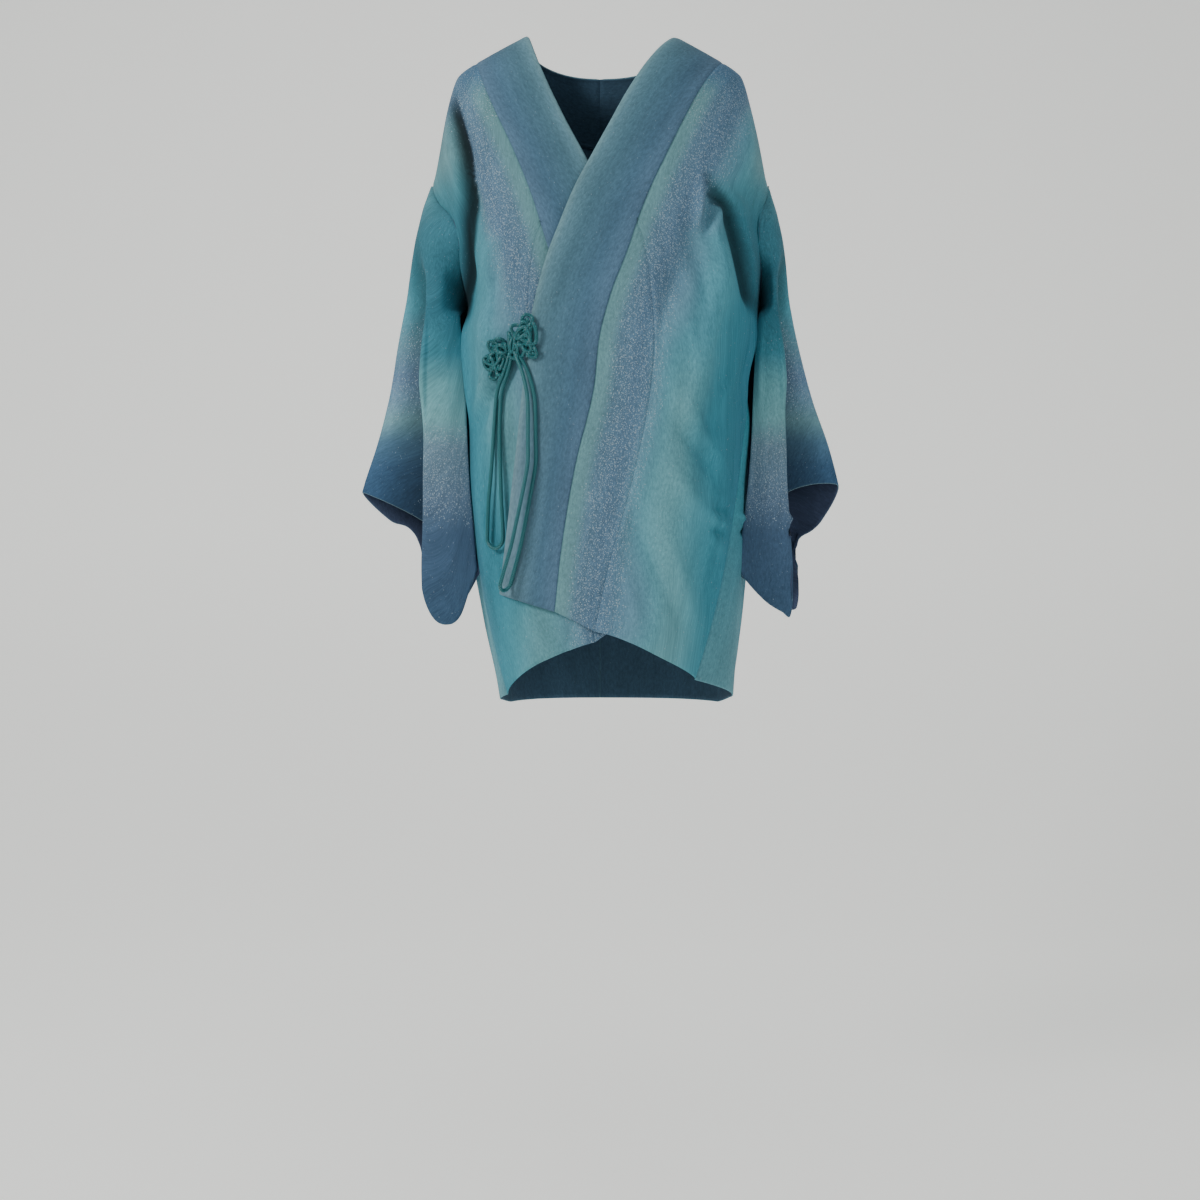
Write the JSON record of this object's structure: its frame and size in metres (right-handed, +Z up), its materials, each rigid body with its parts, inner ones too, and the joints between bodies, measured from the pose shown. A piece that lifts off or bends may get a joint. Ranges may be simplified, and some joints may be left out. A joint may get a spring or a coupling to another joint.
{
  "type": "kimono coat with crossed fronts, held in its worn form",
  "caption": "Hollow worn kimono coat: crossed fronts, wide collar band, square sleeves open at the armpit, corded knot fastening with hanging loops.",
  "frame": {"origin": "point between the shoulders, level with the collar seam on the shoulder ridge, where the wearer's shoulders hold the coat up", "axes": "+X to the wearer's left, -Y to the front, +Z up"},
  "size_m": [0.5699, 0.2908, 0.794],
  "materials": {
    "crepe_body": "dull silk crepe, teal shaded to light grey-green and speckled purple-grey",
    "crepe_overlap": "dull silk crepe, speckled purple-grey",
    "crepe_collar": "dull silk crepe, blue-grey shaded to light grey-green at the free edge",
    "crepe_sleeve": "dull silk crepe, teal shaded to steel blue at the cuff",
    "cord": "braided round silk cord, emerald teal"
  },
  "bodies": {
    "root": {"body_left": "crepe_body", "body_right": "crepe_body", "overlap_left": "crepe_overlap", "overlap_right": "crepe_overlap", "gusset_left": "crepe_body", "gusset_right": "crepe_body", "collar_left": "crepe_collar", "collar_right": "crepe_collar", "sleeve_left": "crepe_sleeve", "sleeve_right": "crepe_sleeve", "knot_left": "cord", "knot_right": "cord", "loop_short": "cord", "loop_long": "cord"}
  },
  "joints": []
}
